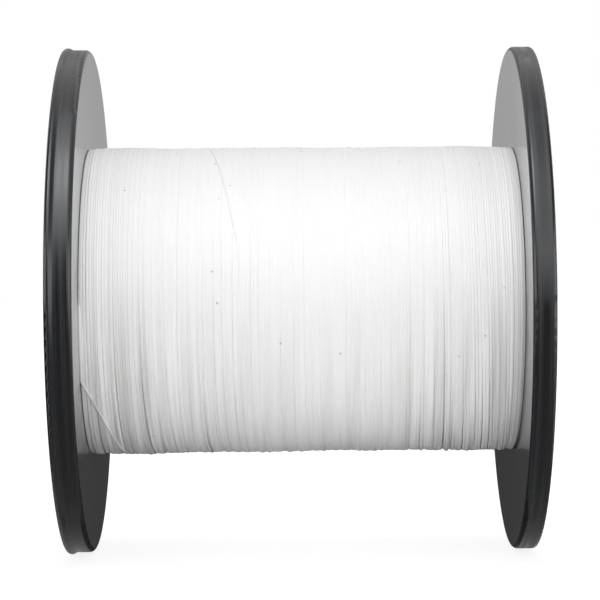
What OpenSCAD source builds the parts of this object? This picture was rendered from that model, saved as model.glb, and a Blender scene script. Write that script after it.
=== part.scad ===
// Reel of racket string: two moulded flanges snapped onto a barrel, and the string wound on it.
// The reel's axis runs along X, +Z is up, and the origin is on the axis halfway between the flanges.

/* [Reel] */
// Diameter of both flanges
flange_d = 129; // [120:1:150]
// Distance between the inner faces of the flanges' rims
traverse_w = 106.9; // [90:0.1:130]
// Depth of the left flange's rim
left_rim_w = 6.6; // [5.2:0.1:9]
// Depth of the right flange's rim
right_rim_w = 5.7; // [5.2:0.1:9]

/* [Flange] */
// Thickness of the web, the wall beside the string
web_t = 2.4; // [1.6:0.1:3]
// How far the web is dished: its inner face lies this much further out at the barrel than at the rim
web_dish = 0.95; // [0.2:0.05:1.2]
// Thickness of the rim's wall
rim_wall = 2.6; // [1.8:0.1:4]
// Radius on the rim's edge beside the string
rim_inner_round = 1.2; // [0.4:0.05:1.6]
// Radius on the rim's outer edge
rim_outer_round = 0.9; // [0.2:0.05:1.1]
// Height of the lip round the outer edge of the left flange's rim
lip_h = 0.5; // [0.2:0.05:0.8]
// Width of the lip
lip_w = 1.2; // [1.2:0.1:2.4]
// Length of the slope from the rim up to the lip
lip_slope = 0.9; // [0.4:0.1:1.6]
// Radius of the fillet where the web meets the rim, on the outer side
web_fillet = 1.0; // [0.4:0.1:1.4]
// Number of radial ribs on the outer side
rib_count = 12; // [8:2:16]
// Thickness of the ribs
rib_t = 1.6; // [1:0.1:2.4]
// How far the ribs lie below the rim's outer plane
rib_inset = 0.8; // [0.4:0.1:1.4]
// Middle diameter of the ring rib
ring_rib_d = 92; // [84:1:104]

/* [Hub] */
// Diameter of the spindle bore
bore_d = 20; // [12:0.5:25]
// Wall of the hub around the bore
hub_wall = 3.2; // [2:0.1:4.5]
// How far the hub's sleeve reaches into the barrel
sleeve_len = 16; // [10:0.5:24]
// Chamfer at the mouth of the bore
bore_chamfer = 0.8; // [0.4:0.1:1.4]
// Diameter of the hole that a winding machine's drive pin enters
drive_hole_d = 6; // [4:0.5:7]
// Distance of the drive hole from the axis
drive_hole_at = 22; // [20:0.5:24]
// Diameter of the hole that parks the string's free end
park_hole_d = 2.4; // [1.4:0.1:3]
// Distance of the park hole's centre from the rim's inner wall
park_hole_in = 3.4; // [2.6:0.1:6]

/* [Snap joint] */
// Length of the spigot that the barrel slides over
spigot_len = 11; // [10:0.5:14]
// Wall of the spigot
spigot_wall = 2; // [1.6:0.1:2.6]
// Radial clearance between the spigot and the barrel
spigot_clear = 0.15; // [0.05:0.05:0.3]
// Number of snap tongues on each spigot
snap_count = 4; // [3:1:6]
// Width of a snap tongue
snap_w = 9; // [6:0.5:12]
// Width of the slits that free a tongue
slit_w = 1.2; // [0.8:0.1:1.6]
// How far a hook stands out of the spigot
hook_out = 1.4; // [0.8:0.1:1.8]
// Length of a hook along the axis
hook_len = 3; // [2:0.1:4]
// Distance of a hook's holding face from the barrel's end
hook_at = 5.5; // [4.5:0.1:6]
// Clearance of a hook in its window in the barrel
window_clear = 0.25; // [0.1:0.05:0.4]
// Number of stiffening ribs between the hub and the spigot
brace_count = 8; // [4:4:8]
// Height of the stiffening ribs
brace_h = 6; // [4:0.5:9]

/* [Barrel] */
// Outer diameter of the barrel
barrel_d = 69; // [60:0.5:72]
// Wall of the barrel
barrel_wall = 2.5; // [2:0.1:3.5]
// Diameter of the hole that the string's inner end passes through
anchor_hole_d = 1.2; // [1:0.1:2]
// Distance of the anchor hole from the barrel's left end
anchor_at = 20; // [16:0.5:40]

/* [String] */
// Diameter of the string
string_d = 0.7; // [0.6:0.01:1]
// Depth of the wound string on the barrel
winding_depth = 4.9; // [3:0.1:20]
// Clearance between the wound string and a flange
winding_end_clear = 0.05; // [0.05:0.05:0.3]
// Width of the rounded shoulder at each end of the winding
shoulder_w = 5.5; // [3:0.5:9]
// How far the shoulder drops at the end of the winding
shoulder_drop = 0.9; // [0.3:0.1:1.5]
// Width of the gap in places where two turns stand apart
turn_gap_w = 0.6; // [0.3:0.05:1]
// Depth of such a gap, down to the layer below
turn_gap_depth = 0.6; // [0.3:0.05:0.8]
// Clearance between the string's single turns and what they lie on
seat_clear = 0.05; // [0.02:0.01:0.1]
// Diameter of the knot on the string's inner end
knot_d = 2.4; // [2.1:0.1:3]

/* [Hidden] */
$fn = 96;

flange_r = flange_d / 2;
rim_inner_r = flange_r - rim_wall;
ring_rib_r = ring_rib_d / 2;
half_traverse = traverse_w / 2;
half_barrel = half_traverse + web_dish;
bore_r = bore_d / 2;
hub_r = bore_r + hub_wall;
barrel_r = barrel_d / 2;
barrel_inner_r = barrel_r - barrel_wall;
spigot_r = barrel_inner_r - spigot_clear;
spigot_inner_r = spigot_r - spigot_wall;
winding_r = barrel_r + winding_depth;
winding_inner_r = barrel_r + seat_clear;
half_winding = half_traverse + setback(winding_r - shoulder_drop) - winding_end_clear;
string_r = string_d / 2;
park_hole_at = rim_inner_r - park_hole_in;

// Where turns stand apart: -1 is the left shoulder's edge and 1 the right one's.
// It happens near the flanges, where the traverse turns back.
turn_gap_places = [-0.95, -0.84, -0.73, -0.62, -0.16, 0.57, 0.77, 0.86, 0.96];
straight_half = half_winding - shoulder_w - turn_gap_w;

// Angles round the axis are counted from the front, -Y, and grow downwards.
// The loose turn leaves the left flange, runs slantwise under the reel and joins the others there.
loose_from = -6;
loose_leaves_flange = 26;
loose_joins = 114;
loose_to = 172;
loose_shift = 12.2;
// The crossing turn comes over the top from behind.
crossing_from = -150;
crossing_starts = -100;
crossing_ends = -12;
crossing_to = 28;
crossing_from_x = -25;
crossing_to_x = -15.2;
// Share of a slant over which the turn bends into it, and out of it again.
slant_bend = 0.12;
strand_step = 3;
strand_sides = 8;

// Where the two holes in each web are, as turns from straight down towards the back.
// The park hole is at the back, level with the axis, and both holes lie between two ribs.
drive_hole_turn = 360 / rib_count;
park_hole_turn = 90;

eps = 0.01;
string_white = [0.93, 0.93, 0.92];
moulding_black = [0.05, 0.05, 0.055];

// ---- helpers ----

// Turns a shape that is drawn along +Z so that it points along the reel's axis, +X.
module along_axis() {
    rotate([0, 90, 0]) children();
}

// Sets a flange against the barrel's end: side is -1 on the left and 1 on the right.
// The flange's own +Z points outwards.
module at_side(side) {
    mirror([side < 0 ? 1 : 0, 0, 0]) translate([half_barrel, 0, 0]) along_axis() children();
}

// A ring from radius r_in to r_out and from z0 to z1.
module ring(r_in, r_out, z0, z1) {
    rotate_extrude() translate([r_in, z0]) square([r_out - r_in, z1 - z0]);
}

// What a convex edge loses when it is rounded: a square corner less its circle.
// The corner is at the origin and the material lies towards -X and, by up, towards +Y or -Y.
module edge_loss(r, up) {
    mirror([0, up ? 0 : 1]) difference() {
        translate([-r, -eps]) square([r + eps, r + eps]);
        translate([-r, r]) circle(r);
    }
}

function unit(v) = v / norm(v);

// A slant from 0 to 1: steady in the middle, bent like a parabola at both ends.
function slant(u) =
    let (c = min(max(u, 0), 1), w = slant_bend, steepness = 1 / (1 - w))
    c < w ? steepness * c * c / (2 * w)
    : c > 1 - w ? 1 - steepness * (1 - c) * (1 - c) / (2 * w)
    : steepness * (c - w / 2);

// How far the dished web's inner face lies outside the rim's, at the radius r.
function setback(r) =
    web_dish * min(max((flange_r - rim_inner_round - r) / (flange_r - rim_inner_round - barrel_r), 0), 1);

// How far the winding's surface lies below its full radius at the distance x from the middle.
function surface_drop(x) =
    let (u = max(0, abs(x) - (half_winding - shoulder_w)) / shoulder_w)
    shoulder_drop * (1 - sqrt(1 - min(u, 1) * min(u, 1)));

// The direction away from the axis at an angle.
function outward(a) = [0, -cos(a), -sin(a)];

// The middle of a strand that lies on the winding at the angle a and the place x.
function on_winding(a, x) =
    [x, 0, 0] + (winding_r - surface_drop(x) + string_r + seat_clear) * outward(a);

// A round strand along a path, with a closed flat end at each end.
module strand(path, normals) {
    last = len(path) - 1;
    points = [
        for (i = [0:last])
            let (t = unit(path[min(i + 1, last)] - path[max(i - 1, 0)]),
                 n = unit(normals[i] - (normals[i] * t) * t),
                 b = cross(t, n))
            for (k = [0:strand_sides - 1])
                let (a = 360 * k / strand_sides) path[i] + string_r * (cos(a) * n + sin(a) * b)
    ];
    wall = [
        for (i = [0:last - 1])
            for (k = [0:strand_sides - 1])
                let (a = i * strand_sides + k,
                     b = i * strand_sides + (k + 1) % strand_sides)
                each [[a, a + strand_sides, b], [b, a + strand_sides, b + strand_sides]]
    ];
    first_cap = [for (k = [0:strand_sides - 1]) k];
    last_cap = [for (k = [strand_sides - 1:-1:0]) last * strand_sides + k];
    polyhedron(points, concat(wall, [first_cap], [last_cap]));
}

// ---- flanges ----

// The dished web and the rim as one turned profile, both edges of the rim rounded.
// With a lip, the rim's outer edge stands out over a short slope.
module flange_dish(rim_w, lip) {
    flat_r = flange_r - rim_inner_round;
    outer_z = rim_w - web_dish;
    web_z = web_t - web_dish;
    rotate_extrude() difference() {
        union() {
            polygon([
                [0, 0], [barrel_r, 0], [flat_r, -web_dish], [flange_r, -web_dish],
                [flange_r, outer_z - lip_w - lip_slope], [flange_r + lip, outer_z - lip_w],
                [flange_r + lip, outer_z], [rim_inner_r, outer_z], [rim_inner_r, web_z],
                [barrel_r, web_t], [0, web_t]
            ]);
            difference() {
                translate([rim_inner_r - web_fillet, web_z - eps])
                    square([web_fillet + eps, web_fillet + eps]);
                translate([rim_inner_r - web_fillet, web_z + web_fillet]) circle(web_fillet);
            }
        }
        translate([flange_r, -web_dish]) edge_loss(rim_inner_round, true);
        translate([flange_r + lip, outer_z]) edge_loss(rim_outer_round, false);
    }
}

// The radial ribs and the ring rib that stiffen the web. They start inside the web.
module flange_ribs(rim_w) {
    rib_z = rim_w - web_dish - rib_inset;
    root_z = web_t - web_dish - web_t / 4;
    for (i = [0:rib_count - 1])
        rotate([0, 0, (i + 0.5) * 360 / rib_count])
            translate([hub_r - hub_wall / 2, -rib_t / 2, root_z])
                cube([rim_inner_r - hub_r + hub_wall, rib_t, rib_z - root_z]);
    ring(ring_rib_r - rib_t / 2, ring_rib_r + rib_t / 2, root_z, rib_z);
}

// The spigot inside the barrel, cut into snap tongues with hooks, and its stiffening ribs.
module spigot() {
    difference() {
        union() {
            ring(spigot_inner_r, spigot_r, -spigot_len, web_t / 2);
            intersection() {
                rotate_extrude() polygon([
                    [spigot_r - spigot_wall / 2, -hook_at],
                    [spigot_r + hook_out, -hook_at],
                    [spigot_r + hook_out, -hook_at - hook_len / 3],
                    [spigot_r - spigot_wall / 2, -hook_at - hook_len * 7 / 6]
                ]);
                snap_blocks(snap_w, -spigot_len, 0);
            }
        }
        for (side = [-1, 1])
            for (i = [0:snap_count - 1])
                rotate([0, 0, i * 360 / snap_count])
                    translate([0, side * (snap_w + slit_w) / 2 - slit_w / 2, -spigot_len - eps])
                        cube([barrel_r, slit_w, spigot_len - slit_w]);
    }
    for (i = [0:brace_count - 1])
        rotate([0, 0, (i + 0.5) * 360 / brace_count])
            translate([hub_r - hub_wall / 2, -rib_t / 2, -brace_h])
                cube([spigot_inner_r - hub_r + hub_wall, rib_t, brace_h + web_t / 2]);
}

// One block for each snap tongue, as wide as w, from the axis outwards past the barrel.
module snap_blocks(w, z0, z1) {
    for (i = [0:snap_count - 1])
        rotate([0, 0, i * 360 / snap_count])
            translate([hub_r, -w / 2, z0]) cube([barrel_r, w, z1 - z0]);
}

// A whole flange, its seat for the barrel at z = 0 and its outer side towards +Z.
module flange(rim_w, lip) {
    outer_z = rim_w - web_dish;
    hole_z = -web_dish - 1;
    difference() {
        union() {
            flange_dish(rim_w, lip);
            flange_ribs(rim_w);
            spigot();
            ring(0, hub_r, -sleeve_len, outer_z);
        }
        translate([0, 0, -sleeve_len - 1]) cylinder(r = bore_r, h = sleeve_len + rim_w + 2);
        translate([0, 0, outer_z - bore_chamfer])
            cylinder(r1 = bore_r, r2 = bore_r + bore_chamfer + eps, h = bore_chamfer + eps);
        rotate([0, 0, drive_hole_turn])
            translate([drive_hole_at, 0, hole_z]) cylinder(d = drive_hole_d, h = rim_w + 2);
        rotate([0, 0, park_hole_turn])
            translate([park_hole_at, 0, hole_z]) cylinder(d = park_hole_d, h = rim_w + 2);
    }
}

module left_flange() {
    color(moulding_black) at_side(-1) flange(left_rim_w, lip_h);
}

module right_flange() {
    color(moulding_black) at_side(1) flange(right_rim_w, 0);
}

// ---- barrel ----

// The tube that the string is wound on, with a window for every hook and a hole for the string.
module barrel() {
    color(moulding_black) difference() {
        along_axis() ring(barrel_inner_r, barrel_r, -half_barrel, half_barrel);
        for (side = [-1, 1])
            at_side(side)
                snap_blocks(snap_w + 2 * window_clear, -hook_at - hook_len * 7 / 6 - window_clear,
                            -hook_at + window_clear);
        translate([anchor_at - half_barrel, 0, 0]) cylinder(d = anchor_hole_d, h = barrel_d);
    }
}

// ---- string ----

// All wound turns as one body, its ends along the dished webs, with a rounded shoulder at each
// and a groove wherever two turns stand apart.
module winding() {
    steps = 6;
    half_core = half_barrel - winding_end_clear;
    shoulder = [
        for (i = [0:steps])
            let (x = half_winding - shoulder_w + shoulder_w * sin(90 * i / steps))
            [winding_r - surface_drop(x), x]
    ];
    other = [for (i = [steps:-1:0]) [shoulder[i][0], -shoulder[i][1]]];
    gaps = [
        for (place = turn_gap_places)
            for (side = [-1, 0, 1])
                [winding_r - (side == 0 ? turn_gap_depth : 0),
                 place * straight_half + side * turn_gap_w / 2]
    ];
    color(string_white) along_axis() rotate_extrude()
        polygon(concat([[winding_inner_r, -half_core]], other, gaps, shoulder,
                       [[winding_inner_r, half_core]]));
}

// The last turn: it lies in the corner by the left flange, comes out at the front and crosses
// the others slantwise below.
module loose_turn() {
    edge_x = -(half_traverse + setback(winding_r + string_r) - winding_end_clear - string_r);
    angles = [for (a = [loose_from:strand_step:loose_to]) a];
    path = [
        for (a = angles)
            on_winding(a, edge_x + loose_shift
                          * slant((a - loose_leaves_flange) / (loose_joins - loose_leaves_flange)))
    ];
    color(string_white) strand(path, [for (a = angles) outward(a)]);
}

// A second turn that crosses its neighbours at the top.
module crossing_turn() {
    angles = [for (a = [crossing_from:strand_step:crossing_to]) a];
    path = [
        for (a = angles)
            on_winding(a, crossing_from_x + (crossing_to_x - crossing_from_x)
                          * slant((a - crossing_starts) / (crossing_ends - crossing_starts)))
    ];
    color(string_white) strand(path, [for (a = angles) outward(a)]);
}

// The string's inner end: it passes through the barrel's wall and is held by a knot inside.
module string_start() {
    color(string_white) translate([anchor_at - half_barrel, 0, 0]) {
        translate([0, 0, barrel_inner_r - knot_d / 2])
            cylinder(d = string_d, h = barrel_wall + knot_d / 2);
        translate([0, 0, barrel_inner_r - knot_d / 2 - seat_clear]) sphere(d = knot_d);
    }
}

left_flange();
right_flange();
barrel();
winding();
loose_turn();
crossing_turn();
string_start();
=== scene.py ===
# %% [markdown]
# A lesson in cells: the finish of a reel of racket string, on top of its CAD model.
#
# The CAD model holds every piece of the reel at its real size. What is added here is what the
# eye sees: the gloss of the black moulding, and the string as it is wound, turn by turn. The
# model is loaded first.

# %% Getting started
import math

import bpy
import numpy as np
from mathutils import Matrix, Vector


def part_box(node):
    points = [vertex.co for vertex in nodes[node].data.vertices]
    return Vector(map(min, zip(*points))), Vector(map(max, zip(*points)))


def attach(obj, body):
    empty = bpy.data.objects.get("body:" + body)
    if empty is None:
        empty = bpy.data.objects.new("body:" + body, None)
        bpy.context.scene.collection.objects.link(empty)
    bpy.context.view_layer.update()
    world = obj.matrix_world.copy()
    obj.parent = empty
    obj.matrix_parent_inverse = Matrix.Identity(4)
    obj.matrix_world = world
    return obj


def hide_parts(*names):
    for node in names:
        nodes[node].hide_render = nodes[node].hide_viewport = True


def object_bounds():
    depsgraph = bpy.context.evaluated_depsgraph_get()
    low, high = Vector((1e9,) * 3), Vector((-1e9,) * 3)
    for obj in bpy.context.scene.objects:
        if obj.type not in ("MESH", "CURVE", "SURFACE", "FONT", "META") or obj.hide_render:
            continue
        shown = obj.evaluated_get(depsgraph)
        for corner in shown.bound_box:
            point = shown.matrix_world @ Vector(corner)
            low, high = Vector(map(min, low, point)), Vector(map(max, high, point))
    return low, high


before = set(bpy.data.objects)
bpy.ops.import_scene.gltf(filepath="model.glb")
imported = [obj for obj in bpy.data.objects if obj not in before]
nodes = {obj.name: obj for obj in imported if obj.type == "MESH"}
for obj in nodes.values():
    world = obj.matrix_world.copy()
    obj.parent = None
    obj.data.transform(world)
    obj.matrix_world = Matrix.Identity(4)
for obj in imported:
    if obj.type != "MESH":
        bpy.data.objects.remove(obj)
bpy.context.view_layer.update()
scene = bpy.context.scene
scene.view_settings.view_transform = "Standard"
print("CAD nodes:", ", ".join(sorted(nodes)))

# %% [markdown]
# A reel is best seen straight from the front, at the height of its axis. A little over half a
# metre away, the inner faces of both flanges are just seen; a longer lens from further off would
# make them narrower still. The reel is to look turned by half a degree, and the camera is rolled
# for that, because the CAD pieces are never moved.

# %% The camera
CAMERA_AWAY = 0.615
CAMERA_SWING = 0.0024
CAMERA_ROLL = math.radians(-0.481)
SENSOR_WIDTH = 36
PICTURE_PIXELS = 600
FOCAL_PIXELS = 2379.5
AIM_PIXELS = (-1.54, -0.58)
PIXELS_PER_METRE = FOCAL_PIXELS / CAMERA_AWAY

camera_data = bpy.data.cameras.new("camera")
camera_data.sensor_width = SENSOR_WIDTH
camera_data.lens = FOCAL_PIXELS / PICTURE_PIXELS * SENSOR_WIDTH
camera_data.clip_start = 0.01
camera = bpy.data.objects.new("camera", camera_data)
scene.collection.objects.link(camera)
aim = Vector((AIM_PIXELS[0] / PIXELS_PER_METRE, 0, AIM_PIXELS[1] / PIXELS_PER_METRE))
camera.location = aim + CAMERA_AWAY * Vector((-math.sin(CAMERA_SWING), -math.cos(CAMERA_SWING), 0))
looking = (aim - camera.location).to_track_quat("-Z", "Y").to_matrix()
camera.rotation_euler = (looking @ Matrix.Rotation(CAMERA_ROLL, 3, "Z")).to_euler()
scene.camera = camera
print("lens:", round(camera_data.lens, 1), "mm")

# %% [markdown]
# Both finishes on this reel are made of nodes, so they need no pictures and no unwrapping. Node
# by node that takes many lines. A few small building blocks cover it: noise that is stretched
# along some direction, a remap of a value, a mix of two colours, and a bump.

# %% Building blocks for a finish
class Finish:
    """A material whose nodes are added by short calls."""

    def __init__(self, name):
        self.material = bpy.data.materials.new(name)
        self.material.use_nodes = True
        self.tree = self.material.node_tree
        self.shader = self.tree.nodes["Principled BSDF"]
        self.place = self.tree.nodes.new("ShaderNodeTexCoord")

    def add(self, kind, inputs=(), **settings):
        node = self.tree.nodes.new(kind)
        for key, value in settings.items():
            setattr(node, key, value)
        for key, value in dict(inputs).items():
            if isinstance(value, bpy.types.NodeSocket):
                self.tree.links.new(value, node.inputs[key])
            else:
                node.inputs[key].default_value = value
        return node

    def stretched(self, scale, shift=(0, 0, 0)):
        return self.add("ShaderNodeMapping", {"Vector": self.place.outputs["Object"], "Scale": scale,
                                              "Location": shift}).outputs["Vector"]

    def noise(self, scale, detail=2.0, roughness=0.5, shift=(0, 0, 0)):
        """Noise between about 0.2 and 0.8, with so many waves per metre along x, y and z."""
        return self.add("ShaderNodeTexNoise", {"Vector": self.stretched(scale, shift), "Scale": 1.0,
                                               "Detail": detail, "Roughness": roughness}).outputs[0]

    def remap(self, value, low, high, to_low=0.0, to_high=1.0):
        return self.add("ShaderNodeMapRange", {0: value, 1: low, 2: high, 3: to_low, 4: to_high},
                        clamp=True).outputs[0]

    def math(self, operation, first, second=0.0):
        return self.add("ShaderNodeMath", {0: first, 1: second}, operation=operation).outputs[0]

    def mix(self, share, first, second):
        node = self.add("ShaderNodeMix", {0: share, 6: first, 7: second}, data_type="RGBA")
        return node.outputs[2]

    def bump(self, height, distance, strength=1.0, below=None):
        inputs = {"Height": height, "Distance": distance, "Strength": strength}
        if below is not None:
            inputs["Normal"] = below
        return self.add("ShaderNodeBump", inputs).outputs["Normal"]

    def set(self, **inputs):
        for key, value in inputs.items():
            socket = self.shader.inputs[key.replace("_", " ")]
            if isinstance(value, bpy.types.NodeSocket):
                self.tree.links.new(value, socket)
            else:
                socket.default_value = value


# %% [markdown]
# The flanges and the barrel are injection moulded from black plastic. Turned steel moulds leave
# fine grooves round the rim, and handling adds scratches the same way round, so the noise is
# very fine along the axis and slow round the reel. Noise in the reel's own coordinates has no
# seam, as a picture wrapped round the rim would. The flat faces are even and get a clear gloss
# on top, so that they mirror the string beside them.

# %% The black moulding
BLACK = (0.004, 0.0045, 0.0055, 1)
SCRATCHED_BLACK = (0.020, 0.021, 0.024, 1)
EDGE_ROUND = 0.0005
FACE_GLOSS = 0.7

moulding = Finish("black_moulding")
rings = moulding.noise((1000, 8, 8), detail=4.0, roughness=0.65)
broad = moulding.noise((60, 14, 14), detail=2.0, shift=(3, 1, 7))
grain = moulding.noise((900, 900, 900), detail=2.0, shift=(1, 5, 2))
facing = moulding.add("ShaderNodeSeparateXYZ", {0: moulding.place.outputs["Normal"]}).outputs[0]
flat_face = moulding.remap(moulding.math("ABSOLUTE", facing), 0.90, 0.985)
scratched = moulding.remap(rings, 0.42, 0.68)
rim_roughness = moulding.math("ADD", moulding.remap(rings, 0.36, 0.64, 0.10, 0.34),
                              moulding.remap(broad, 0.3, 0.7, -0.03, 0.05))
face_roughness = moulding.remap(broad, 0.3, 0.7, 0.16, 0.24)
roughness = moulding.add("ShaderNodeMix", {0: flat_face, 2: rim_roughness, 3: face_roughness})
soft_edges = moulding.add("ShaderNodeBevel", {"Radius": EDGE_ROUND}, samples=8).outputs[0]
moulding.set(
    Base_Color=moulding.mix(scratched, BLACK, SCRATCHED_BLACK),
    Roughness=roughness.outputs[0],
    IOR=1.5,
    Coat_Weight=moulding.math("MULTIPLY", flat_face, FACE_GLOSS),
    Coat_Roughness=0.13,
    Normal=moulding.bump(grain, 0.00002, 0.35, moulding.bump(rings, 0.00003, 0.5, soft_edges)),
)
MOULDED = ("left_flange", "right_flange", "barrel")
for name in MOULDED:
    nodes[name].data.materials.clear()
    nodes[name].data.materials.append(moulding.material)
print("black moulding on", ", ".join(MOULDED))

# %% [markdown]
# The string is drawn nylon: white and smooth, with a soft shine. Turns differ a little in tone,
# because each lies at its own tension and turns another side of itself outwards. Near the
# flanges, and less so in the middle, the lower half is painted darker: this is painted shade that
# stands in for shade the lamps don't give, and the turns' tone differs most within it. Small bits
# of grit stick all over. The turns themselves are left to the mesh, because a bump gives no real
# edges or shadows; the finish adds tone, painted shade, shine and fibre.

# %% The white string
WHITE = (0.965, 0.965, 0.962, 1)
# the darker white: reached by the turns' random tone inside the painted shade near the flanges' lower half
SHADE_AND_TONE_WHITE = (0.64, 0.64, 0.632, 1)
GRIT = (0.55, 0.54, 0.52, 1)

string = Finish("white_string")
tone = string.noise((360, 9, 9), detail=4.0, roughness=0.55)
soft = string.noise((55, 40, 40), detail=2.0, shift=(4, 4, 4))
fibre = string.noise((5000, 700, 700), detail=2.0, shift=(2, 9, 4))
spot = string.add("ShaderNodeSeparateXYZ", {0: string.place.outputs["Object"]})
# painted shade: the string is painted darker near the flanges and towards the bottom, and the random tone is
# scaled by it
near_flange = string.remap(string.math("ABSOLUTE", spot.outputs[0]), 0.020, 0.046, 0.30, 1.0)
lower_half = string.remap(spot.outputs[2], 0.004, -0.020, 0.10, 0.92)
painted_shade = string.math("MULTIPLY", near_flange, lower_half)
tone_and_painted_shade = string.math("MULTIPLY", string.remap(tone, 0.61, 0.39), painted_shade)
specks = string.add("ShaderNodeTexVoronoi", {"Vector": string.place.outputs["Object"], "Scale": 140.0})
string.set(
    Base_Color=string.mix(string.remap(specks.outputs[0], 0.052, 0.026),
                          string.mix(tone_and_painted_shade, WHITE, SHADE_AND_TONE_WHITE), GRIT),
    Roughness=string.remap(soft, 0.3, 0.7, 0.44, 0.56),
    IOR=1.5,
    Normal=string.bump(fibre, 0.00002, 0.3),
)
print("white string from", WHITE[:3], "to", SHADE_AND_TONE_WHITE[:3])

# %% [markdown]
# A wound string has over a hundred thousand points, too many to place one by one. Blender takes
# whole arrays, which is fast, so every mesh here is worked out with numpy and handed over at
# once. A piece with a material slot belongs to the reel and rides on the body that carries it.

# %% Making a piece from points and faces
def make_piece(name, points, faces, material, slot=None):
    """Makes an object from an array of points and a list or array of faces, smoothly shaded."""
    mesh = bpy.data.meshes.new(name)
    mesh.vertices.add(len(points))
    mesh.vertices.foreach_set("co", np.asarray(points, np.float32).ravel())
    corners = [corner for face in faces for corner in face]
    mesh.loops.add(len(corners))
    mesh.loops.foreach_set("vertex_index", corners)
    mesh.polygons.add(len(faces))
    starts = np.concatenate([[0], np.cumsum([len(face) for face in faces])[:-1]])
    mesh.polygons.foreach_set("loop_start", starts.astype(np.int32))
    mesh.update(calc_edges=True)
    mesh.validate()
    mesh.polygons.foreach_set("use_smooth", [True] * len(mesh.polygons))
    mesh.materials.append(material)
    piece = bpy.data.objects.new(name, mesh)
    scene.collection.objects.link(piece)
    if slot:
        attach(piece, "root")
    return piece


# %% [markdown]
# The winding's size is read from the CAD model. Its surface drops a little at both shoulders,
# where the last turns have nothing to lean on. Its radius is a sixth of a millimetre larger at
# the left end and as much smaller at the right one. Between them it stays a fifth of a millimetre
# below the CAD surface, so that turns can stand out.

# %% The surface that the string is wound on
MM = 0.001
STRING_D = 0.70 * MM
STRING_R = STRING_D / 2
WINDING_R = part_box("winding")[1].z
WINDING_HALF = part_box("winding")[1].x
BARREL_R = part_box("barrel")[1].z
SHOULDER_W = 5.5 * MM
SHOULDER_DROP = 0.5 * MM
TAPER = 0.17 * MM
ROOM_ABOVE = 0.22 * MM


def shoulder(x):
    """How far the winding's surface has dropped near its two ends."""
    u = np.clip((np.abs(x) - (WINDING_HALF - SHOULDER_W)) / SHOULDER_W, 0, 1)
    return SHOULDER_DROP * (1 - np.sqrt(1 - u * u))


def surface(x):
    """Radius of the wound surface at a place, without the swelling of the layers below."""
    return WINDING_R - ROOM_ABOVE - shoulder(x) - TAPER * x / WINDING_HALF


def outward(angle):
    """Direction away from the axis. Angles in degrees count from the front and grow downwards."""
    a = np.radians(angle)
    return np.stack([np.zeros_like(a), -np.cos(a), -np.sin(a)], -1)


print("winding radius", round(WINDING_R / MM, 2), "mm, half width", round(WINDING_HALF / MM, 2), "mm")

# %% [markdown]
# No reel is wound evenly, and its streaks come from that. Purely random places would look like
# noise. On a real reel the string drifts: a place is like its neighbours along the string, and
# like the same place on the turns before and after. Both come from smoothing seeded numbers.

# %% Chance that drifts
def drift(count, reach, seed):
    """A slowly drifting row of numbers from -2 to 2 with a spread of 1: chance under a bell."""
    chance = np.random.default_rng(seed).normal(size=count + 6 * reach)
    bell = np.exp(-0.5 * (np.arange(-3 * reach, 3 * reach + 1) / reach) ** 2)
    smooth = np.convolve(chance, bell, "same")[3 * reach:3 * reach + count]
    return np.clip(smooth / math.sqrt((bell ** 2).sum()), -2, 2)


def across_turns(row, stations, reach):
    """Blends a row along the helix with the same place on the turns before and after."""
    blended, weight = np.zeros_like(row), 0.0
    for step in range(-2 * reach, 2 * reach + 1):
        share = math.exp(-0.5 * (step / reach) ** 2)
        blended += share * np.roll(row, step * stations)
        weight += share * share
    return blended / math.sqrt(weight)


def uneven(turn):
    """The lower front of the winding lies less evenly than the upper front: 0.2 to about 1.1."""
    return 0.68 - 0.46 * np.cos(2 * math.pi * turn + math.radians(225))


all_round = uneven(np.arange(0, 1, 0.01))
print("unevenness from", all_round.min().round(2), "to", all_round.max().round(2))

# %% [markdown]
# A layer is one long helix. Every station lies one pitch beside the station a turn before it,
# plus a small gap that drifts, so that the turns lean as they do on a real reel. Near the
# flanges, where the traverse turns back, they lie less evenly than in the middle, and in nine
# places turns stand a hair further apart, where the CAD model has its grooves. The first and the
# last turn lie still against the flanges, so the sum of all gaps is spread back over the helix.

# %% Where the turns of a layer lie
TURN_GAP_W = 0.6 * MM
TURN_GAP_PLACES = (-0.95, -0.84, -0.73, -0.62, -0.16, 0.57, 0.77, 0.86, 0.96)
STRAIGHT_HALF = WINDING_HALF - SHOULDER_W - TURN_GAP_W
CALM_HALF = 0.018
CALM_FADE = 0.024
CALM_UNREST, MORE_UNREST = 0.35, 0.85
OPENING_TURNS = 0.30
# in millimetres
SHARED_GAP, OWN_GAP, OPENING = 0.08, 0.23, 0.04


def helix(turns, stations, seed, first_x, last_x, unrest, apart=()):
    """x of every station of a layer: its first and its last turn lie still against the flanges."""
    turns -= 2
    count = turns * stations
    turn = np.arange(count) / stations
    shared = across_turns(drift(count, stations // 6, seed), stations, 1)
    own = drift(count, stations // 5, seed + 1)
    even = first_x + (last_x - first_x) * turn / turns
    near_end = CALM_UNREST + MORE_UNREST * np.clip((np.abs(even) - CALM_HALF) / CALM_FADE, 0, 1)
    extra = unrest * near_end * uneven(turn) * (SHARED_GAP * shared + OWN_GAP * own)
    for place in apart:
        middle = (place * STRAIGHT_HALF - first_x) / (last_x - first_x) * turns
        extra += OPENING * uneven(turn) * np.exp(-0.5 * ((turn - middle) / OPENING_TURNS) ** 2)
    extra *= MM
    pitch = (last_x - first_x) / turns
    x = np.empty(count)
    x[:stations] = first_x + pitch * turn[:stations]
    for start in range(stations, count, stations):
        here = slice(start, start + stations)
        x[here] = x[start - stations:start] + pitch - extra.mean() + extra[here]
    miss = x[-stations:] - (last_x - pitch + pitch * turn[:stations])
    miss -= (miss[-1] - miss[0]) * turn[:stations]
    x -= np.tile(miss, turns) * turn / turns
    return np.concatenate([np.full(stations, first_x), x, np.full(stations, last_x)])


print("turns stand apart in", len(TURN_GAP_PLACES), "places")

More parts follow.
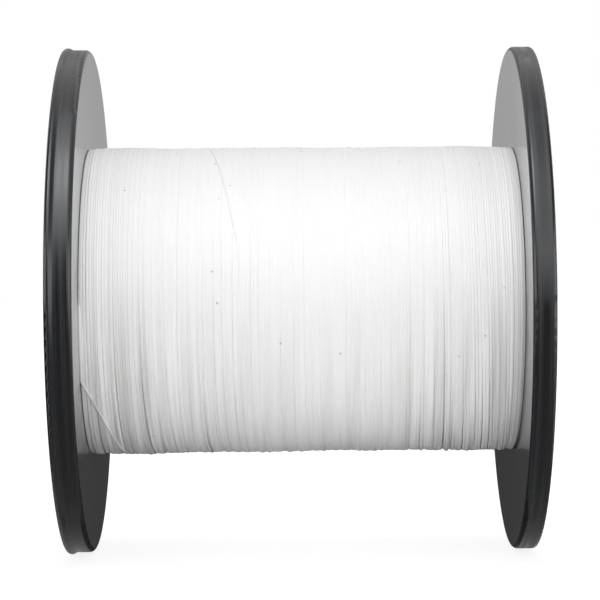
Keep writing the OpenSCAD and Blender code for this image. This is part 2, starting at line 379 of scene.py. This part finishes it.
# %% [markdown]
# A strand is a ring of points that is carried along a path. It could be a curve with a bevel,
# but a mesh keeps its cross section upright to the reel and can be pressed flat.

# %% A strand along a path
def tube(path, outward, radius, sides, flat=1.0):
    """Points and faces of a strand along a path, closed at both ends, round or pressed flat."""
    path, outward = np.asarray(path), np.asarray(outward)
    along = np.empty_like(path)
    along[1:-1] = path[2:] - path[:-2]
    along[0], along[-1] = path[1] - path[0], path[-1] - path[-2]
    along /= np.linalg.norm(along, axis=1, keepdims=True)
    up = outward - (outward * along).sum(1, keepdims=True) * along
    up /= np.linalg.norm(up, axis=1, keepdims=True)
    side = np.cross(along, up)
    turn = 2 * math.pi * np.arange(sides) / sides
    points = (path[:, None] + radius * (flat * np.cos(turn)[None, :, None] * up[:, None]
                                        + np.sin(turn)[None, :, None] * side[:, None]))
    rows = len(path)
    grid = np.arange(rows * sides).reshape(rows, sides)
    following = np.roll(grid, -1, axis=1)
    walls = np.stack([grid[:-1], following[:-1], following[1:], grid[1:]], -1).reshape(-1, 4)
    faces = walls.tolist() + [grid[0, ::-1].tolist(), grid[-1].tolist()]
    return points.reshape(-1, 3), faces


# %% [markdown]
# The last two layers of a reel mix: turns lie half over their neighbours, so that only a low,
# wide crest of each is seen. The crests are pressed flat here for that. Some lie higher and some
# lower, and the whole surface swells and sinks over the layers below, each by about a tenth of a
# millimetre. The layer is made in two halves that meet at the back.

# %% The top layer
TURNS = 170
STATIONS = 96
WIDE_R = 0.44 * MM
PRESSED = 0.27
EDGE_CLEAR = 0.15 * MM
# in millimetres
SWELLING, UNLEVEL = 0.08, 0.11

edge_x = WINDING_HALF - WIDE_R - EDGE_CLEAR
x_top = helix(TURNS, STATIONS, 11, -edge_x, edge_x, 1.0, TURN_GAP_PLACES)
angle_top = 180 + 360 / STATIONS * np.arange(len(x_top))
swell = across_turns(drift(len(x_top), STATIONS // 6, 21), STATIONS, 6)
height = uneven(np.arange(len(x_top)) / STATIONS) * drift(len(x_top), STATIONS // 4, 22)
r_top = surface(x_top) - PRESSED * WIDE_R + (SWELLING * swell + UNLEVEL * height) * MM
path_top = r_top[:, None] * outward(angle_top)
path_top[:, 0] = x_top
half = (TURNS // 2) * STATIONS
spacing = (x_top[STATIONS:] - x_top[:-STATIONS]) / MM
print("top layer:", TURNS, "turns, spacing", spacing.min().round(3), "to", spacing.max().round(3), "mm")
for name, part in (("turns_left", slice(0, half + 1)), ("turns_right", slice(half, None))):
    points, faces = tube(path_top[part], outward(angle_top[part]), WIDE_R, 8, PRESSED)
    piece = make_piece(name, points, faces, string.material, "white_string")
    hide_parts("winding")
    print(name, len(points), "points")

# %% [markdown]
# Where two top turns part, the layer below shows. It is wound the other way, so its turns lean
# against those above. They are round, because nothing presses on them where they are seen.

# %% The layer below
UNDER_TURNS = 150
UNDER_STATIONS = 72
UNDER_EDGE = 0.8 * MM
UNDER_DROP = 0.30 * MM

x_under = -helix(UNDER_TURNS, UNDER_STATIONS, 31, -WINDING_HALF + UNDER_EDGE, WINDING_HALF - UNDER_EDGE, 0.3)
angle_under = 180 + 360 / UNDER_STATIONS * np.arange(len(x_under))
r_under = surface(x_under) - STRING_R - UNDER_DROP
path_under = r_under[:, None] * outward(angle_under)
path_under[:, 0] = x_under
points, faces = tube(path_under, outward(angle_under), STRING_R, 6)
under = make_piece("turns_below", points, faces, string.material, "white_string")
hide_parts("winding")
print("layer below:", UNDER_TURNS, "turns,", len(points), "points")

# %% [markdown]
# What lies deeper is never seen. It could be wound too, at the cost of a million faces. A plain
# sleeve between the barrel and the layers above stops light and looks from passing through.

# %% The layers that are never seen
CORE_EDGE = 0.9 * MM
CORE_DROP = 1.75 * MM
BARREL_CLEAR = 0.05 * MM
CORE_CORNERS = 41
CORE_SIDES = 128


def turned(profile, sides):
    """A closed ring: a profile of (x, radius) corners turned round the axis."""
    profile = np.asarray(profile)
    around = 2 * math.pi * np.arange(sides) / sides
    points = np.empty((len(profile), sides, 3))
    points[:, :, 0] = profile[:, None, 0]
    points[:, :, 1] = profile[:, None, 1] * np.cos(around)
    points[:, :, 2] = profile[:, None, 1] * np.sin(around)
    grid = np.arange(len(profile) * sides).reshape(len(profile), sides)
    below, beside = np.roll(grid, -1, axis=0), np.roll(grid, -1, axis=1)
    both = np.roll(below, -1, axis=1)
    faces = np.stack([grid, below, both, beside], -1).reshape(-1, 4)
    return points.reshape(-1, 3), faces.tolist()


edge = WINDING_HALF - CORE_EDGE
inner_r = BARREL_R + BARREL_CLEAR
core_r = WINDING_R - CORE_DROP
core_profile = [(-edge, inner_r), (edge, inner_r), (edge, core_r - SHOULDER_DROP)]
core_profile += [(x, core_r - float(shoulder(np.array(x + math.copysign(CORE_EDGE, x)))))
                 for x in np.linspace(edge, -edge, CORE_CORNERS)[1:-1]]
core_profile += [(-edge, core_r - SHOULDER_DROP)]
points, faces = turned(core_profile, CORE_SIDES)
core = make_piece("turns_deep", points, faces, string.material, "white_string")
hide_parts("winding")
print("sleeve from", round(inner_r / MM, 2), "to", round(core_r / MM, 2), "mm")

# %% [markdown]
# Two single turns lie on top of the others and catch the eye. They are round strands on the same
# surface. Each sinks between its neighbours at both ends, as a turn does that comes up from the
# layer below, so that no cut end is seen.

# %% A turn that lies on the others
LYING_CLEAR = 0.02 * MM


def fade(angle, start, end):
    """0 to 1 smoothly between two angles."""
    u = np.clip((angle - start) / (end - start), 0, 1)
    return u * u * (3 - 2 * u)


def lying_turn(name, angle, x, lift):
    """A single turn on the others: lift 0 lies on top of them and -1 is sunk between them."""
    radius = surface(x) + (STRING_R + LYING_CLEAR) + lift * STRING_D
    path = radius[:, None] * outward(angle)
    path[:, 0] = x
    points, faces = tube(path, outward(angle), STRING_R, 10)
    print(name, "from", angle[0], "to", angle[-1], "degrees, highest lift", lift.max().round(2))
    return make_piece(name, points, faces, string.material, "white_string")


# %% [markdown]
# The loose turn runs in the corner by the left flange, comes out just below the front and slants
# across the others. It leaves the corner quickly and then more and more slowly, as a string does
# that slides until friction holds it, so its shift is an exponential.

# %% The loose turn
LEAVES_FLANGE = 30.0
LOOSE_SHIFT = 11.6 * MM
LOOSE_EASE = 34.0

angle = np.arange(-4.0, 150.1, 2.0)
past = np.clip(angle - LEAVES_FLANGE, 0, None)
x = -(WINDING_HALF - STRING_R) + LOOSE_SHIFT * (1 - np.exp(-past / LOOSE_EASE))
lift = -1.2 + 1.2 * fade(angle, -2, 9) - 0.8 * fade(angle, 60, 84) - 0.4 * fade(angle, 84, 112)
loose = lying_turn("loose_turn_visual", angle, x, lift)
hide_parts("loose_turn")

# %% [markdown]
# The second turn crosses its neighbours in the upper front. It shifts sideways steadily and is
# only partly raised, so it is no more than a faint line.

# %% The crossing turn
CROSSING_LIFT = 0.52
# in millimetres
CROSSING_FROM, CROSSING_SHIFT = -25, 9.8


def slant(u, bend=0.12):
    """0 to 1: steady in the middle, bent like a parabola at both ends."""
    c = np.clip(u, 0, 1)
    steep = 1 / (1 - bend)
    return np.where(c < bend, steep * c * c / (2 * bend),
                    np.where(c > 1 - bend, 1 - steep * (1 - c) ** 2 / (2 * bend),
                             steep * (c - bend / 2)))


angle = np.arange(-140.0, 28.1, 2.0)
x = (CROSSING_FROM + CROSSING_SHIFT * slant((angle + 100) / 88)) * MM
lift = -1.2 + CROSSING_LIFT * fade(angle, -100, -66) - CROSSING_LIFT * fade(angle, -30, 22)
crossing = lying_turn("crossing_turn_visual", angle, x, lift)
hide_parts("crossing_turn")

# %% [markdown]
# The string's inner end passes through the barrel's wall and is held by a knot inside. It is
# never seen, so its CAD piece stays and only gets the string's finish.

# %% The string's inner end
nodes["string_start"].data.materials.clear()
nodes["string_start"].data.materials.append(string.material)
print("string_start has the finish", string.material.name)

# %% [markdown]
# The reel stands on pale paper that has no visible edge. More light would make the paper white
# and would bleach the string too. So the paper has two finishes: an ordinary one that takes part
# in the light, and a white one that camera and gloss see. The white one is a little dimmer by
# the reel and still takes some light, which keeps the reel's shadow.

# %% The floor
FLOOR_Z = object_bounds()[0].z - 0.0001


def white_when_seen(tree, lit, shown):
    """Mixes a lit shader with a white one that camera, gloss and glass rays see."""
    rays = tree.nodes.new("ShaderNodeLightPath")
    total = rays.outputs["Is Camera Ray"]
    for kind in ("Is Glossy Ray", "Is Transmission Ray"):
        either = tree.nodes.new("ShaderNodeMath")
        either.operation = "MAXIMUM"
        tree.links.new(total, either.inputs[0])
        tree.links.new(rays.outputs[kind], either.inputs[1])
        total = either.outputs[0]
    mix = tree.nodes.new("ShaderNodeMixShader")
    tree.links.new(total, mix.inputs[0])
    tree.links.new(lit, mix.inputs[1])
    tree.links.new(shown, mix.inputs[2])
    return mix.outputs[0]


FLOOR_HALF = 60
floor_points = [(x, y, FLOOR_Z) for x, y in ((-1, -1), (1, -1), (1, 1), (-1, 1))]
floor_points = [(x * FLOOR_HALF, y * FLOOR_HALF, z) for x, y, z in floor_points]
paper = bpy.data.materials.new("paper")
paper.use_nodes = True
tree = paper.node_tree
tree.nodes.clear()
output = tree.nodes.new("ShaderNodeOutputMaterial")
lit = tree.nodes.new("ShaderNodeBsdfDiffuse")
lit.inputs["Color"].default_value = (0.96, 0.96, 0.96, 1)
faint = tree.nodes.new("ShaderNodeBsdfDiffuse")
faint.inputs["Color"].default_value = (0.35, 0.35, 0.35, 1)
glow = tree.nodes.new("ShaderNodeEmission")
place = tree.nodes.new("ShaderNodeTexCoord")
away = tree.nodes.new("ShaderNodeVectorMath")
away.operation = "LENGTH"
tree.links.new(place.outputs["Object"], away.inputs[0])
fading = tree.nodes.new("ShaderNodeMapRange")
for key, value in zip(("From Min", "From Max", "To Min", "To Max"), (0.2, 0.9, 0.86, 1.0)):
    fading.inputs[key].default_value = value
tree.links.new(away.outputs["Value"], fading.inputs[0])
tree.links.new(fading.outputs[0], glow.inputs["Strength"])
shown = tree.nodes.new("ShaderNodeAddShader")
tree.links.new(faint.outputs[0], shown.inputs[0])
tree.links.new(glow.outputs[0], shown.inputs[1])
tree.links.new(white_when_seen(tree, lit.outputs[0], shown.outputs[0]), output.inputs["Surface"])
floor = make_piece("floor", floor_points, [[0, 1, 2, 3]], paper)
print("floor at", round(FLOOR_Z / MM, 1), "mm")

# %% [markdown]
# The sky fills the shadows evenly, mostly below the winding, where no lamp reaches. Like the
# floor it is white where it is looked at, whatever its strength as a light.

# %% The sky
world = bpy.data.worlds.new("sky")
scene.world = world
world.use_nodes = True
tree = world.node_tree
sky = tree.nodes["Background"]
sky.inputs["Color"].default_value = (1, 1, 1, 1)
sky.inputs["Strength"].default_value = 0.40
white = tree.nodes.new("ShaderNodeBackground")
white.inputs["Color"].default_value = (1, 1, 1, 1)
white.inputs["Strength"].default_value = 1.0
tree.links.new(white_when_seen(tree, sky.outputs[0], white.outputs[0]),
               tree.nodes["World Output"].inputs["Surface"])
print("sky strength", sky.inputs["Strength"].default_value)

# %% [markdown]
# A white winding needs soft light from the front and from above, or it loses its round form. One
# lamp above gives the bright crest, a key and a front lamp light the middle, and a low one keeps
# the underside from going dark. All stand in line with the reel's middle and most are narrow, so
# that the flanges throw little shadow on the string. They are kept out of the gloss, which has
# its own cards.

# %% The lamps
def softbox(name, azimuth, elevation, away, width, height, radiance):
    """An area lamp that looks at the reel. Azimuth 0 is in front and grows to the right."""
    data = bpy.data.lights.new(name, "AREA")
    data.shape, data.size, data.size_y = "RECTANGLE", width, height
    data.energy = radiance * math.pi * width * height
    lamp = bpy.data.objects.new(name, data)
    scene.collection.objects.link(lamp)
    a, e = math.radians(azimuth), math.radians(elevation)
    lamp.location = away * Vector((math.sin(a) * math.cos(e), -math.cos(a) * math.cos(e), math.sin(e)))
    lamp.rotation_euler = (-lamp.location).to_track_quat("-Z", "Y").to_euler()
    return lamp


LAMPS = (
    # name, azimuth, elevation, distance, width, height, radiance
    ("key", 2, 20, 1.3, 0.26, 0.42, 4.9),
    ("front", 2, 3, 1.3, 0.26, 0.42, 4.0),
    ("low", 0, 2, 1.3, 0.5, 0.20, 10.3),
    ("top", 0, 88, 1.3, 0.26, 0.50, 13.7),
)
for lamp in LAMPS:
    softbox(*lamp).visible_glossy = False
print(len(LAMPS), "soft lamps:", ", ".join(lamp[0] for lamp in LAMPS))

# %% [markdown]
# Black plastic looks like whatever it mirrors. In a studio that is set with cards round the
# object. Here only gloss sees the cards, so they take no light from the string, and each glows by
# itself, so its shade does not depend on the lamps. Some have one shade. Others change with
# height, as a bent card does that catches the light of a window.

# %% A card
SHADE_TOP = 7.0
COOL_WHITE = (0.95, 0.98, 1.0, 1)


def card(name, corners, shade=0.0, by_height=()):
    """A card that only gloss sees: one shade, or a list of (degrees above the floor, shade)."""
    paint = Finish(name)
    paint.set(Base_Color=(0, 0, 0, 1), Specular_IOR_Level=0.0, Emission_Strength=shade,
              Emission_Color=COOL_WHITE if by_height else (1, 1, 1, 1))
    if by_height:
        spot = paint.add("ShaderNodeSeparateXYZ", {0: paint.place.outputs["Object"]})
        angle = paint.math("ARCTAN2", spot.outputs[2], paint.math("MULTIPLY", spot.outputs[1], -1.0))
        ramp = paint.add("ShaderNodeValToRGB", {0: paint.math("DIVIDE", angle, math.pi / 2)})
        stops = ramp.color_ramp.elements
        while len(stops) < len(by_height):
            stops.new(0.5)
        for stop, (degrees, value) in zip(stops, by_height):
            stop.position = degrees / 90
            stop.color = (value / SHADE_TOP,) * 3 + (1,)
        paint.set(Emission_Strength=paint.math("MULTIPLY", ramp.outputs[0], SHADE_TOP))
    faces = [[i, i + 1, i + 3, i + 2] for i in range(0, len(corners) - 2, 2)]
    piece = make_piece(name, corners, faces, paint.material)
    for ray in ("camera", "diffuse", "transmission", "volume_scatter", "shadow"):
        setattr(piece, "visible_" + ray, False)


# %% [markdown]
# The inner faces of the flanges are seen at a glancing angle and mirror what lies behind the
# reel: dark near the floor and grey above, which parts each face into a light and a dark
# crescent. Without these cards the pale floor would make the plastic look white.

# %% Cards in front, below and behind
CARD_LOW = FLOOR_Z + 0.0005
FRONT_Y, MIDDLE_Y, BACK_Y = -1.5, -0.03, 0.4
FRONT_TOP, BACK_TOP = -0.03, 0.4
BACK_HALF = 2


def upright(half, y, bottom, top):
    """Corners of an upright card across the view, from its lower left one."""
    return [(-half, y, bottom), (half, y, bottom), (-half, y, top), (half, y, top)]


def lying(near_half, near_y, far_half, far_y):
    """Corners of a card on the floor, from its near left one."""
    return [(-near_half, near_y, CARD_LOW), (near_half, near_y, CARD_LOW),
            (-far_half, far_y, CARD_LOW), (far_half, far_y, CARD_LOW)]


card("card_front", upright(0.6, FRONT_Y, CARD_LOW, FRONT_TOP), 0.08)
card("card_floor", lying(0.5, FRONT_Y, 0.1, MIDDLE_Y), 0.30)
card("card_behind", lying(BACK_HALF, MIDDLE_Y, BACK_HALF, BACK_Y), 0.06)
card("card_back", upright(BACK_HALF, BACK_Y, CARD_LOW, 0.0), 0.06)
card("card_above", upright(BACK_HALF, BACK_Y, 0.0, BACK_TOP), 0.51)
print("cards in front, below and behind: 5")

# %% [markdown]
# The rims face outwards all round and mirror the room in front, from the floor to overhead. A
# card on each side, bent round the reel like an arch, gives them their soft bright band; it lies
# higher and is stronger on the left. Flat cards at the sides light the rims' rounded edges, with
# darker ones above them, and a small card lies beside the foot of each rim.

# %% Cards at the sides
CARD_AWAY = 1.2
CARD_HALF = 0.7
SIDE_FROM, SIDE_TO = math.radians(32), math.radians(84)
SIDE_HEIGHTS = (-0.05, 0.42, 2.0)
UNDER_X, UNDER_Y = (0.054, 0.1), (-0.03, 0.02)
BY_HEIGHT = {
    # side: pairs of (degrees above the floor, shade)
    -1: ((0, 0.22), (10, 0.35), (19, 0.70), (30, 2.5), (40, 3.8),
         (52, 6.2), (60, 6.4), (72, 3.3), (84, 2.0)),
    1: ((0, 0.85), (10, 1.70), (19, 2.40), (30, 2.2), (40, 2.1),
        (52, 2.1), (60, 1.8), (72, 1.4), (84, 1.3)),
}


def between(near, far, bottom, top):
    """Corners of an upright card between two places."""
    return [near + bottom, far + bottom, near + top, far + top]


for side, by_height in BY_HEIGHT.items():
    arc = [CARD_AWAY * Vector((0, -math.cos(e), math.sin(e))) for e in np.radians(np.arange(-2, 91, 4))]
    corners = [point + out for point in arc for out in (Vector(), Vector((side * CARD_HALF, 0, 0)))]
    card(f"card_light_{side + 1}", corners, by_height=by_height)
    near, far = (CARD_AWAY * Vector((side * math.sin(t), -math.cos(t), 0)) for t in (SIDE_FROM, SIDE_TO))
    low, middle, high = (Vector((0, 0, z)) for z in SIDE_HEIGHTS)
    card(f"card_side_{side + 1}", between(near, far, low, middle), 3.0)
    under_corners = [(side * x, y, CARD_LOW + 0.0003) for y in UNDER_Y for x in UNDER_X]
    card(f"card_under_{side + 1}", under_corners, 0.3)
    far.y = BACK_Y
    card(f"card_side_top_{side + 1}", between(near, far, middle, high), 0.35)
print("cards at the sides:", 4 * len(BY_HEIGHT))
